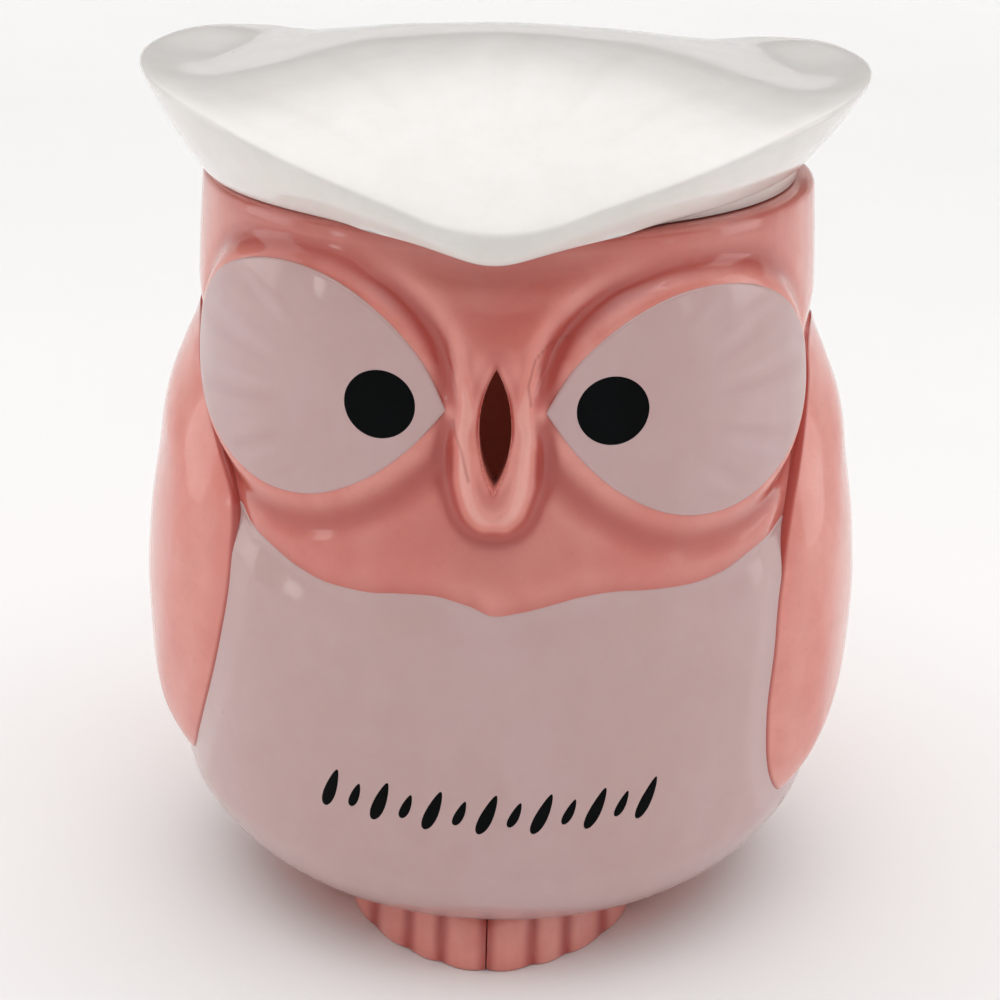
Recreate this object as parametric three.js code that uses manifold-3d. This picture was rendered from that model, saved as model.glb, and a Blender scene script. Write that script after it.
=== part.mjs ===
// An owl-shaped coin bank in glazed ceramic: a hollow body with a coin slot in the beak,
// and a lid that lifts off its open top. Millimetres, +Z up, the owl faces -Y, and the
// origin is the middle of the flat base.
//
// Everything on the body is laid out by an angle and a height: the angle is in degrees round
// from the front (positive to +X), and the height is a share of the rim height.
import * as THREE from 'three';
import { mergeVertices } from 'three/addons/utils/BufferGeometryUtils.js';
import Module from 'manifold-3d';

const wasm = await Module();
wasm.setup();

// ---- body ---------------------------------------------------------------------------------
const RIM_HEIGHT = 200;        // table to the top of the body's rim
const BELLY_HALF_WIDTH = 91;   // widest half-width of the body
const FRONT_TO_BACK = 0.95;    // the belly's depth as a share of its width; the rim is round
const ROUND_FROM = 0.3;        // above this share of the rim height the section turns round
const WALL = 5.5;              // thickness of the cast body
const RIM_WIDTH = 7.5;         // flat top of the rim, outer edge to mouth
const RIM_SHOULDER = 4;        // rounding of the rim's outer edge
const NECK_DEPTH = 17;         // straight part of the mouth
const BASE_HALF_WIDTH = 50;    // flat underside
const FLOOR = 6;               // thickness of the floor
const PIECE_GAP = 0.3;         // gap between pieces that touch

// Share of the rim height against share of the belly's half-width.
const PROFILE = [
  [0.04, 0.7], [0.08, 0.822], [0.13, 0.905], [0.19, 0.963], [0.26, 0.984], [0.34, 0.996],
  [0.43, 1], [0.53, 0.983], [0.63, 0.946], [0.73, 0.918], [0.82, 0.893], [0.91, 0.881], [1, 0.866],
];

// ---- face ---------------------------------------------------------------------------------
const SLOT_HEIGHT = 28.5;      // lens-shaped coin slot, a little over one large coin
const SLOT_WIDTH = 7.5;
const SLOT_CENTRE = 0.779;     // height of its middle, share of the rim height

const BEAK_PROUD = 8;          // how far the beak stands off the face
const BEAK_HALF_WIDTH = 10.5;
const BEAK_FLAT = 1 / 3;       // the beak's flat middle, share of its half-width
const BEAK_RISE = [            // share of the rim height against share of BEAK_PROUD
  [0, 0], [0.63, 0], [0.665, 0.7], [0.72, 1], [0.8, 0.85], [0.87, 0.45], [0.93, 0.1], [0.96, 0], [1, 0],
];
const MOUND_PROUD = 3.2;       // swelling of the face under each eye
const MOUND_BAND = 6.5;        // width of the pink band round each eye field

// Outlines on the body: [degrees from the front, share of the rim height].
const EYE_OUTLINE = [
  [7.9, 0.7965], [12.5, 0.855], [19.5, 0.901], [28, 0.93], [38, 0.938], [48, 0.925], [57, 0.89],
  [62.4, 0.838], [62.6, 0.779], [58, 0.724], [49.5, 0.683], [39, 0.661], [29, 0.667], [20, 0.7],
  [13, 0.746],
];
const EYE_POINTS = 30;
const EYE_CENTRE = [39, 0.8];
const EYE_TILT = 2;            // degrees: the +X eye field hangs lower, the -X one rides higher
const EYE_FIELD_DEPTH = 2;     // thickness of an eye field, set into the mound
const EYE_FIELD_PROUD = 0.8;   // how far its edge stands off the mound
const EYE_FIELD_DOME = 1.2;    // and how much further its middle does

const PUPIL_CENTRE = [18.3, 0.7975];
const PUPIL_RADIUS = 8.3;
const PUPIL_DEPTH = 0.8;
const PUPIL_PROUD = 0.35;
const PUPIL_POINTS = 16;

// ---- belly field and wings ----------------------------------------------------------------
// The belly field's upper edge, in two panels that are one piece: the front, up to the chin
// and the wings, and a low band that runs on round the sides under the wing tips.
const BELLY_FRONT = [
  [0, 0.547], [8, 0.56], [16, 0.57], [24, 0.569], [32, 0.565], [40, 0.577], [47, 0.592],
];
const BELLY_BAND = [
  [0, 0.3], [8, 0.3], [16, 0.3], [24, 0.3], [32, 0.3], [40, 0.3], [47, 0.3], [52, 0.24], [60, 0.18],
  [70, 0.165], [80, 0.16], [92, 0.155], [103, 0.15],
];
const BELLY_LOWER = 0.045;     // its lower edge
const BELLY_FIELD_DEPTH = 2;   // the belly field is set this deep into the body
const BELLY_FIELD_PROUD = 0.9; // and swells this far past it

// The wings aren't mirror images: the right one reaches further forward at the top, and the
// left one at the bottom.
const WING_BACK = [[72, 0.8], [84, 0.82], [96, 0.785], [107, 0.68], [110, 0.55]];
const WING_OUTLINES = {
  left: [
    ...WING_BACK, [104, 0.42], [90, 0.3], [76, 0.22], [66, 0.195], [60, 0.198], [55.2, 0.23],
    [52, 0.278], [50.2, 0.35], [50.6, 0.43], [51.6, 0.5], [54.5, 0.57], [58, 0.62], [63.5, 0.69],
    [68, 0.75],
  ],
  right: [
    ...WING_BACK, [105, 0.42], [93, 0.3], [80, 0.225], [71, 0.2], [66, 0.215], [60.5, 0.265],
    [54.5, 0.34], [49.5, 0.43], [47.4, 0.5], [47.2, 0.57], [48.8, 0.63], [54, 0.68], [61, 0.73],
    [67, 0.77],
  ],
};
const WING_POINTS = 34;
const WING_CENTRE = [80, 0.5];
const WING_THICKNESS = 6.6;    // wings stand this far off the body
const WING_EDGE = 1.65;        // and this far at their edge
const WING_ROUND = 0.4;        // outer share of a wing that rounds down to its edge
const WING_DEPTH = 1.2;        // wings are luted this deep into the body

// ---- feet ---------------------------------------------------------------------------------
const FEET_HALF_WIDTH = 39;
const FEET_PROUD = 4;          // toe tips stand this far forward of the belly over them
const FEET_TUCK = 13.5;        // the feet run on this far under the base
const FEET_HEIGHT = 15;
const FOOT_ROUND = 4;          // rounding of the feet's upper edge
const FOOT_POINTS = 26;
const TONGUE_POWER = 1.75;     // fullness of the feet's outline: 1 is a wedge, 2 an ellipse
const TOE_GROOVES = [11.5, 20.5]; // each groove's distance from the middle
const TOE_GROOVE = 1.4;        // depth of the grooves
const TOE_GROOVE_HALF = 1.8;

// ---- lid ----------------------------------------------------------------------------------
const CROWN_RISE = 33.5;       // top of the lid above the rim
const LID_ROOF = 6;            // thickness of the lid's top
const LID_HOLLOW_RISE = 3;     // least height of its hollow above the seat
const SPIGOT_CLEARANCE = 2.2;  // lid spigot to mouth, all round
const SPIGOT_DEPTH = 9;        // how far the spigot reaches into the mouth
const SPIGOT_WALL = 5;
const LID_EDGE_INSET = 1.2;    // the lid's lower edge sits this far inside the rim's edge
const LID_SEAT_INSET = 2;      // and its flat seat ends this far inside that
const LID_EDGE_ROUND = 1.6;    // rounding of the lower edge
const LID_EDGE_LIFT = 4.5;     // the fired lid is warped: its +X edge lifts this far off the rim
const LID_LIFT_FROM = 10;      // degrees from the front where the lift starts
const LID_LIFT_SPREAD = 60;    // degrees that it takes to rise, and to fall again behind
const LID_SIDE_SHIFT = 1.4;    // the lid rests off centre in its clearance, to -X
const BAND_BULGE = 0.8;        // swelling of the band between the lower edge and the crest
const BAND_LEAST = 4;          // least height of that band, at the pointed front
const CREST_ROUND = 2.2;       // half the thickness of the crest

const TAB_DROP = 6.4;          // the pointed front of the lid hangs this far over the forehead
const TAB_HALF_ANGLE = 10.8;
const TAB_SHARPNESS = 1.3;
const TAB_REACH = 6.3;         // the pointed front stands out past the plain edge by this much
const TAB_SPREAD = 22;
const TAB_CLEARANCE = 1.2;     // the pointed front's underside to the rim

const EAR_DISH = 8;            // depth of the hollow inside each ear
const EAR_ANGLE = 92;
const EAR_HALF_ANGLE = 32;
const EAR_INNER = 0.42;        // where the hollow starts, share of the crest's radius
const EAR_INNER_EASE = 0.36;
const EAR_OUTER_EASE = 0.16;

// The lid's crest: degrees from the front, share of the belly's half-width, share of the
// crown's rise. It is low at the pointed front and highest at the ear tips.
const CREST = [
  [0, 0.945, 0.03], [14, 0.945, 0.2], [30, 0.948, 0.4], [50, 0.97, 0.62], [70, 1.011, 0.77],
  [90, 1.025, 0.83], [105, 1.005, 0.85], [121, 0.96, 0.79], [140, 0.917, 0.6], [160, 0.895, 0.48],
  [180, 0.89, 0.44],
];

// ---- fineness of the surfaces -------------------------------------------------------------
const COLUMNS = 56;            // columns round the body and the lid
const BODY_CROWDING = 0.5;     // how strongly they are drawn to the front
const LID_CROWDING = 0.35;
const OUTER_LEVELS = [         // shares of the rim height
  0.04, 0.08, 0.13, 0.19, 0.27, 0.36, 0.46, 0.55, 0.625, 0.665, 0.71, 0.755, 0.8, 0.845, 0.89, 0.94,
];
const INNER_LEVELS = [0.96, 0.81, 0.634, 0.459, 0.295, 0.175, 0.1, 0.055]; // shares up to the neck
const SHOULDER_TURNS = [0, 45, 90];
const EYE_RINGS = [0.4, 0.75, 1];
const PUPIL_RINGS = [0.6, 1];
const WING_RINGS = [0.35, 0.65, 0.86, 1];
const BELLY_ROWS = [0, 0.1, 0.3, 0.5, 0.7, 0.9, 1];
const FOOT_TURNS = [0, 30, 60, 90];
const LID_TOP_RINGS = [0.96, 0.88, 0.78, 0.64, 0.46, 0.24, 0];
const LID_HOLLOW_RINGS = [0, 0.4, 0.75, 1];
const SLOT_SEGMENTS = 8;
const WELD = 1e-4;

// ---- small helpers ------------------------------------------------------------------------
const rad = THREE.MathUtils.degToRad;
const { lerp } = THREE.MathUtils;
const clamp01 = (t) => Math.min(1, Math.max(0, t));
const ease = (t) => {
  const s = clamp01(t);
  return s * s * (3 - 2 * s);
};

// A smooth curve through rows of [x, y, ...]: a cubic whose slopes never overshoot.
function smoothTable(rows, column = 1) {
  const x = rows.map((row) => row[0]);
  const y = rows.map((row) => row[column]);
  const slope = x.slice(1).map((next, i) => (y[i + 1] - y[i]) / (next - x[i]));
  const tangent = x.map((_, i) => {
    if (i === 0 || i === x.length - 1) return slope[Math.min(i, slope.length - 1)];
    const [before, after] = [slope[i - 1], slope[i]];
    return before * after <= 0 ? 0 : (2 * before * after) / (before + after);
  });
  return (at) => {
    let i = 0;
    while (i < x.length - 2 && at > x[i + 1]) i += 1;
    const span = x[i + 1] - x[i];
    const t = (at - x[i]) / span;
    const [t2, t3] = [t * t, t * t * t];
    return y[i] * (2 * t3 - 3 * t2 + 1) + y[i + 1] * (3 * t2 - 2 * t3)
      + span * (tangent[i] * (t3 - 2 * t2 + t) + tangent[i + 1] * (t3 - t2));
  };
}

// The point of a round section: angle in degrees, radius, height, front-to-back share.
function roundPoint(angle, radius, z, share) {
  return [radius * Math.sin(rad(angle)), -radius * share * Math.cos(rad(angle)), z];
}

function closedGeometry(points, triangles) {
  const geometry = new THREE.BufferGeometry();
  geometry.setAttribute('position', new THREE.Float32BufferAttribute(points.flat(), 3));
  geometry.setIndex(triangles.flat());
  return mergeVertices(geometry, WELD);
}

// A closed body swept round Z. section(angle) gives its points from the axis out and round
// to the axis again, with the material on the left as it goes; columns are in degrees.
function sweepRound(section, columns) {
  const rings = columns.map(section);
  const rows = rings[0].length;
  const triangles = [];
  columns.forEach((_, i) => {
    const next = (i + 1) % columns.length;
    for (let j = 0; j < rows - 1; j += 1) {
      const [a, b] = [i * rows + j, next * rows + j];
      if (j > 0) triangles.push([a, b, b + 1]);
      if (j < rows - 2) triangles.push([a, b + 1, a + 1]);
    }
  });
  return closedGeometry(rings.flat(), triangles);
}

// Evenly stepped angles drawn together towards the front, where the face is.
function columnsDenseInFront(crowding) {
  return Array.from({ length: COLUMNS }, (_, i) => {
    const even = (360 * i) / COLUMNS;
    return even - THREE.MathUtils.radToDeg(crowding * Math.sin(rad(even)));
  });
}

function solid(geometry) {
  return new wasm.Manifold(new wasm.Mesh({
    numProp: 3,
    vertProperties: new Float32Array(geometry.attributes.position.array),
    triVerts: new Uint32Array(geometry.index.array),
  }));
}

// An extruded outline with shared vertices.
function extruded(shape, settings) {
  const geometry = new THREE.ExtrudeGeometry(shape, settings);
  geometry.deleteAttribute('normal');
  geometry.deleteAttribute('uv');
  return mergeVertices(geometry, WELD);
}

const owl = new THREE.Group();

function addPiece(name, shape, material) {
  const mesh = shape.getMesh();
  const geometry = new THREE.BufferGeometry();
  geometry.setAttribute('position', new THREE.Float32BufferAttribute(mesh.vertProperties, 3));
  geometry.setIndex(new THREE.BufferAttribute(new Uint32Array(mesh.triVerts), 1));
  geometry.computeVertexNormals();
  const piece = new THREE.Mesh(geometry, material);
  piece.name = name;
  owl.add(piece);
}

const glaze = (color, roughness) => new THREE.MeshStandardMaterial({ color, roughness, metalness: 0 });
const pinkGlaze = glaze(0xe0968c, 0.12);
const lavenderGlaze = glaze(0xcbb4bd, 0.12);
const whiteGlaze = glaze(0xf4efec, 0.12);
const blackGlaze = glaze(0x101214, 0.06);

// ---- sizes that follow --------------------------------------------------------------------
const profileShare = smoothTable(PROFILE);
const halfWidth = (z) => BELLY_HALF_WIDTH * profileShare(z / RIM_HEIGHT);
const depthShare = (z) => (
  lerp(FRONT_TO_BACK, 1, ease((z / RIM_HEIGHT - ROUND_FROM) / (1 - ROUND_FROM)))
);
const RIM_RADIUS = halfWidth(RIM_HEIGHT);
const MOUTH_RADIUS = RIM_RADIUS - RIM_WIDTH;
const NECK_BOTTOM = RIM_HEIGHT - NECK_DEPTH;

// Millimetres per degree round the body at eye height: distances on the face are in mm.
const FACE_ARC = rad(1) * halfWidth(RIM_HEIGHT * EYE_CENTRE[1]);

// ---- outlines -----------------------------------------------------------------------------
// A closed outline as `count` points of [degrees, mm height], smooth through its few points,
// which run clockwise as seen from outside the body. tilt turns it, in degrees, about its
// first point; side -1 mirrors it to the -X side.
function outlineOf(rows, count, { side, tilt }) {
  const corners = rows.map(([angle, share]) => (
    new THREE.Vector3(angle * FACE_ARC, share * RIM_HEIGHT, 0)
  ));
  const pivot = corners[0].clone();
  const facing = new THREE.Vector3(0, 0, 1);
  corners.forEach((corner) => corner.sub(pivot).applyAxisAngle(facing, rad(tilt)).add(pivot));
  const curve = new THREE.CatmullRomCurve3(corners, true, 'centripetal');
  const points = curve.getSpacedPoints(count).slice(0, count);
  const placed = points.map((point) => [(side * point.x) / FACE_ARC, point.y]);
  return side > 0 ? placed : placed.reverse();
}

// The same outline moved outwards by a distance in mm.
function grown(outline, distance) {
  return outline.map((point, i) => {
    const before = outline[(i + outline.length - 1) % outline.length];
    const after = outline[(i + 1) % outline.length];
    const [along, up] = [(after[0] - before[0]) * FACE_ARC, after[1] - before[1]];
    const length = Math.hypot(along, up);
    return [point[0] - (distance * up) / length / FACE_ARC, point[1] + (distance * along) / length];
  });
}

// Distance in mm from a point on the body to an outline, negative inside it.
function signedDistance(outline, angle, z) {
  let nearest = Infinity;
  let inside = false;
  outline.forEach(([angleA, zA], i) => {
    const [angleB, zB] = outline[(i + 1) % outline.length];
    const [ax, bx, px] = [angleA * FACE_ARC, angleB * FACE_ARC, angle * FACE_ARC];
    const [dx, dz] = [bx - ax, zB - zA];
    const t = clamp01(((px - ax) * dx + (z - zA) * dz) / (dx * dx + dz * dz));
    nearest = Math.min(nearest, Math.hypot(px - ax - t * dx, z - zA - t * dz));
    if ((zA > z) !== (zB > z) && px < ax + (dx * (z - zA)) / dz) inside = !inside;
  });
  return inside ? -nearest : nearest;
}

const sides = [
  { name: 'left', side: 1, tilt: -EYE_TILT },   // the owl's left is on +X
  { name: 'right', side: -1, tilt: EYE_TILT },
];
const eyeOutlines = sides.map((options) => outlineOf(EYE_OUTLINE, EYE_POINTS, options));

// ---- the body's surface -------------------------------------------------------------------
const beakRise = smoothTable(BEAK_RISE);

// How far the face stands off the plain body: a swelling under each eye, and the beak.
function faceRelief(angle, z) {
  const eye = Math.min(...eyeOutlines.map((outline) => signedDistance(outline, angle, z)));
  const mound = MOUND_PROUD * ease(1 - eye / MOUND_BAND);
  const across = Math.abs(angle * FACE_ARC) / BEAK_HALF_WIDTH;
  const beak = BEAK_PROUD * beakRise(z / RIM_HEIGHT) * ease((1 - across) / (1 - BEAK_FLAT));
  return Math.max(mound, beak);
}

// A point standing `offset` off the plain body surface, square to its side profile.
function surfacePoint(angle, z, offset) {
  const step = 0.01;
  const slope = (halfWidth(z + step) - halfWidth(z - step)) / (2 * step);
  const length = Math.hypot(1, slope);
  const height = z - (offset * slope) / length;
  return roundPoint(angle, halfWidth(z) + offset / length, height, depthShare(z));
}

// The outside of the body at one angle, from the middle of its base up to the rim's shoulder.
function outerSection(angle, offset) {
  const base = roundPoint(angle, BASE_HALF_WIDTH + offset, -offset, FRONT_TO_BACK);
  const wall = OUTER_LEVELS.map((share) => {
    const z = share * RIM_HEIGHT;
    return surfacePoint(angle, z, offset + faceRelief(angle, z));
  });
  const shoulder = SHOULDER_TURNS.map((turn) => roundPoint(
    angle,
    RIM_RADIUS + offset - RIM_SHOULDER * (1 - Math.cos(rad(turn))),
    RIM_HEIGHT + offset - RIM_SHOULDER * (1 - Math.sin(rad(turn))),
    1,
  ));
  return [[0, 0, -offset], base, ...wall, ...shoulder];
}

function bodySection(angle) {
  const mouth = [RIM_HEIGHT, NECK_BOTTOM].map((z) => roundPoint(angle, MOUTH_RADIUS, z, 1));
  const inside = INNER_LEVELS.map((share) => surfacePoint(angle, share * NECK_BOTTOM, -WALL));
  const floorEdge = roundPoint(angle, BASE_HALF_WIDTH - WALL, FLOOR, FRONT_TO_BACK);
  return [...outerSection(angle, 0), ...mouth, ...inside, floorEdge, [0, 0, FLOOR]];
}

// The outside of the body as one block, used to trim what is luted on to it.
function bodyBlock(offset) {
  const section = (angle) => [...outerSection(angle, offset), [0, 0, RIM_HEIGHT + offset]];
  return solid(sweepRound(section, columnsDenseInFront(BODY_CROWDING)));
}

// ---- coin slot ----------------------------------------------------------------------------
// A lens: two equal arcs that meet at its top and bottom tips.
function lensShape(height, width) {
  const radius = (height ** 2 + width ** 2) / (4 * width);
  const half = Math.asin(height / 2 / radius);
  const lens = new THREE.Shape();
  lens.absarc(width / 2 - radius, 0, radius, -half, half, false);
  lens.absarc(radius - width / 2, 0, radius, Math.PI - half, Math.PI + half, false);
  return lens;
}

function coinSlot() {
  const reach = BELLY_HALF_WIDTH + BEAK_PROUD;
  const cutter = extruded(lensShape(SLOT_HEIGHT, SLOT_WIDTH), {
    depth: reach - WALL, bevelEnabled: false, curveSegments: SLOT_SEGMENTS,
  });
  cutter.rotateX(Math.PI / 2);
  cutter.translate(0, -WALL, SLOT_CENTRE * RIM_HEIGHT);
  return solid(cutter);
}

// ---- pieces let into the body -------------------------------------------------------------
// A closed cap on the body inside an outline: its outer face is at face(share) off the plain
// body and its inner face at floor, where share is 0 at the centre and 1 at the outline.
function capSolid(outline, centre, face, floor, shares) {
  const sheet = (offset) => {
    const rings = shares.map((share) => outline.map(([angle, z]) => (
      surfacePoint(lerp(centre[0], angle, share), lerp(centre[1], z, share), offset(share))
    )));
    return [surfacePoint(centre[0], centre[1], offset(0)), ...rings.flat()];
  };
  const count = outline.length;
  const sheetSize = 1 + shares.length * count;
  const triangles = [];
  [0, sheetSize].forEach((first) => {
    const add = (a, b, c) => triangles.push(first === 0 ? [a, c, b] : [a, b, c]);
    for (let i = 0; i < count; i += 1) {
      const next = (i + 1) % count;
      add(first, first + 1 + i, first + 1 + next);
      for (let ring = 1; ring < shares.length; ring += 1) {
        const [inner, outer] = [first + 1 + (ring - 1) * count, first + 1 + ring * count];
        add(inner + i, outer + i, outer + next);
        add(inner + i, outer + next, inner + next);
      }
    }
  });
  const rim = 1 + (shares.length - 1) * count;
  for (let i = 0; i < count; i += 1) {
    const next = (i + 1) % count;
    triangles.push([rim + i, sheetSize + rim + next, sheetSize + rim + i]);
    triangles.push([rim + i, rim + next, sheetSize + rim + next]);
  }
  return solid(closedGeometry([...sheet(face), ...sheet(() => floor)], triangles));
}

// A piece let into the body or into another piece, and the pocket that it needs there.
function inlay(outline, centre, face, floor, shares) {
  const above = (share) => face(share) + WALL;
  return {
    piece: capSolid(outline, centre, face, floor, shares),
    pocket: capSolid(grown(outline, PIECE_GAP), centre, above, floor - PIECE_GAP, shares),
  };
}

// A panel of the belly field: a grid of columns between its lower and upper edge, with the
// same rows on its face and its floor. spread makes room round it.
function bellyPanel(halfRows, face, floor, spread) {
  const mirrored = halfRows.slice(1).reverse().map(([angle, share]) => [-angle, share]);
  const rows = [...mirrored, ...halfRows];
  const lastAngle = halfRows.at(-1)[0];
  const grid = (offset) => rows.map(([angle, share]) => {
    const low = BELLY_LOWER * RIM_HEIGHT - spread;
    const high = share * RIM_HEIGHT + spread;
    const outwards = (Math.sign(angle) * spread) / FACE_ARC;
    return BELLY_ROWS.map((part) => {
      const edge = part === 0 || part === 1 || Math.abs(angle) === lastAngle;
      return surfacePoint(angle + outwards, lerp(low, high, part), offset(edge));
    });
  });
  const [across, up] = [rows.length, BELLY_ROWS.length];
  const at = (sheet, i, j) => sheet * across * up + i * up + j;
  const triangles = [];
  const quad = (a, b, c, d) => triangles.push([a, b, c], [a, c, d]);
  for (let i = 0; i < across - 1; i += 1) {
    for (let j = 0; j < up - 1; j += 1) {
      quad(at(0, i, j), at(0, i + 1, j), at(0, i + 1, j + 1), at(0, i, j + 1));
      quad(at(1, i, j), at(1, i, j + 1), at(1, i + 1, j + 1), at(1, i + 1, j));
    }
    quad(at(1, i, 0), at(1, i + 1, 0), at(0, i + 1, 0), at(0, i, 0));
    quad(at(0, i, up - 1), at(0, i + 1, up - 1), at(1, i + 1, up - 1), at(1, i, up - 1));
  }
  const last = across - 1;
  for (let j = 0; j < up - 1; j += 1) {
    quad(at(1, 0, j), at(0, 0, j), at(0, 0, j + 1), at(1, 0, j + 1));
    quad(at(0, last, j), at(1, last, j), at(1, last, j + 1), at(0, last, j + 1));
  }
  return solid(closedGeometry([...grid(face).flat(), ...grid(() => floor).flat()], triangles));
}

function bellySolid(face, floor, spread) {
  const panels = [BELLY_FRONT, BELLY_BAND].map((rows) => bellyPanel(rows, face, floor, spread));
  return panels[0].add(panels[1]);
}

function bellyField() {
  return {
    piece: bellySolid((edge) => (edge ? 0 : BELLY_FIELD_PROUD), -BELLY_FIELD_DEPTH, 0),
    pocket: bellySolid(() => WALL, -BELLY_FIELD_DEPTH - PIECE_GAP, PIECE_GAP),
  };
}

// Where a row of [degrees, share of the rim height] lies on one side of the owl.
const placeOn = (side, [angle, share]) => [side * angle, share * RIM_HEIGHT];

function wingInlay(name, side) {
  const face = (share) => (
    lerp(WING_THICKNESS, WING_EDGE, ease((share - 1 + WING_ROUND) / WING_ROUND))
  );
  const outline = outlineOf(WING_OUTLINES[name], WING_POINTS, { side, tilt: 0 });
  return inlay(outline, placeOn(side, WING_CENTRE), face, -WING_DEPTH, WING_RINGS);
}

// An eye field's face, as its distance off the plain body.
const eyeFace = (share) => MOUND_PROUD + EYE_FIELD_PROUD + EYE_FIELD_DOME * (1 - share ** 2);

function eyeInlay(outline, side) {
  const floor = MOUND_PROUD - EYE_FIELD_DEPTH;
  return inlay(outline, placeOn(side, EYE_CENTRE), eyeFace, floor, EYE_RINGS);
}

function pupilInlay(side) {
  const [angle, height] = placeOn(side, PUPIL_CENTRE);
  const outline = Array.from({ length: PUPIL_POINTS }, (_, i) => {
    const turn = rad((360 * i) / PUPIL_POINTS);
    return [
      angle + (PUPIL_RADIUS * Math.sin(turn)) / FACE_ARC,
      height + PUPIL_RADIUS * Math.cos(turn),
    ];
  });
  const face = eyeFace(0) + PUPIL_PROUD;
  return inlay(outline, [angle, height], () => face, face - PUPIL_DEPTH, PUPIL_RINGS);
}

// ---- feet ---------------------------------------------------------------------------------
const FEET_REACH = halfWidth(FEET_HEIGHT) * depthShare(FEET_HEIGHT) + FEET_PROUD;
const FEET_BACK = BASE_HALF_WIDTH * FRONT_TO_BACK - FEET_TUCK;

// Front edge of the feet at a distance x from the middle: a rounded tongue, nicked by the
// grooves between the toes.
function feetFront(x) {
  const fullness = (1 - (x / FEET_HALF_WIDTH) ** TONGUE_POWER) ** (1 / TONGUE_POWER);
  const nearest = Math.min(...TOE_GROOVES.map((groove) => Math.abs(x - groove)));
  return -lerp(FEET_BACK, FEET_REACH, fullness) + TOE_GROOVE * ease(1 - nearest / TOE_GROOVE_HALF);
}

// A closed body through a stack of level outlines with equal counts, each counterclockwise
// from above, closed by a flat fan at the bottom and at the top.
function stackedSolid(outlines) {
  const count = outlines[0].length;
  const middle = (outline) => [0, 1, 2].map((axis) => (
    outline.reduce((sum, point) => sum + point[axis], 0) / count
  ));
  const points = [...outlines.flat(), middle(outlines[0]), middle(outlines.at(-1))];
  const [bottom, top, last] = [points.length - 2, points.length - 1, (outlines.length - 1) * count];
  const triangles = [];
  for (let i = 0; i < count; i += 1) {
    const next = (i + 1) % count;
    triangles.push([bottom, next, i], [top, last + i, last + next]);
    for (let level = 0; level < last; level += count) {
      triangles.push([level + i, level + next, level + count + next]);
      triangles.push([level + i, level + count + next, level + count + i]);
    }
  }
  return solid(closedGeometry(points, triangles));
}

// One foot: half of the tongue, with its top edge rounded over in a few steps.
function footSolid(side) {
  const middleGap = PIECE_GAP / 2;
  const outlines = FOOT_TURNS.map((turn) => {
    const inset = FOOT_ROUND * (1 - Math.cos(rad(turn)));
    const z = FEET_HEIGHT - FOOT_ROUND * (1 - Math.sin(rad(turn)));
    const front = Array.from({ length: FOOT_POINTS + 1 }, (_, i) => {
      const x = FEET_HALF_WIDTH * Math.sin((Math.PI / 2) * (i / FOOT_POINTS));
      const along = middleGap + x * (1 - (inset + middleGap) / FEET_HALF_WIDTH);
      return [side * along, feetFront(x) + inset, z];
    });
    const outline = [...front, [side * middleGap, -FEET_BACK + FOOT_ROUND, z]];
    return side > 0 ? outline : outline.reverse();
  });
  const sole = outlines[0].map(([x, y]) => [x, y, 0]);
  return stackedSolid([sole, ...outlines]);
}

// ---- lid ----------------------------------------------------------------------------------
const SEAT = RIM_HEIGHT + PIECE_GAP;
const CROWN = RIM_HEIGHT + CROWN_RISE;
const SPIGOT_OUTER = MOUTH_RADIUS - SPIGOT_CLEARANCE;
const SPIGOT_INNER = SPIGOT_OUTER - SPIGOT_WALL;
const LID_EDGE = RIM_RADIUS - LID_EDGE_INSET;

const crestRadiusShare = smoothTable(CREST, 1);
const crestRiseShare = smoothTable(CREST, 2);
const signedAngle = (angle) => ((angle + 540) % 360) - 180;
const awayFromFront = (angle) => Math.abs(signedAngle(angle));
const crestHeight = (angle) => RIM_HEIGHT + CROWN_RISE * crestRiseShare(awayFromFront(angle));

// Height of the lid's top at a share of the way out to its crest: a broad dome, with a hollow
// inside each ear.
function lidTop(angle, share) {
  const away = awayFromFront(angle);
  const ear = Math.exp(-(((away - EAR_ANGLE) / EAR_HALF_ANGLE) ** 2));
  const hollow = ease((share - EAR_INNER) / EAR_INNER_EASE) * ease((1 - share) / EAR_OUTER_EASE);
  return lerp(CROWN, crestHeight(angle), share ** 2) - EAR_DISH * ear * hollow;
}

// How far the warped lower edge stands off the rim.
function edgeLift(angle) {
  const turn = signedAngle(angle) - LID_LIFT_FROM;
  const fallen = ease((turn - 1.5 * LID_LIFT_SPREAD) / LID_LIFT_SPREAD);
  return LID_EDGE_LIFT * ease(turn / LID_LIFT_SPREAD) * (1 - fallen);
}

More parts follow.
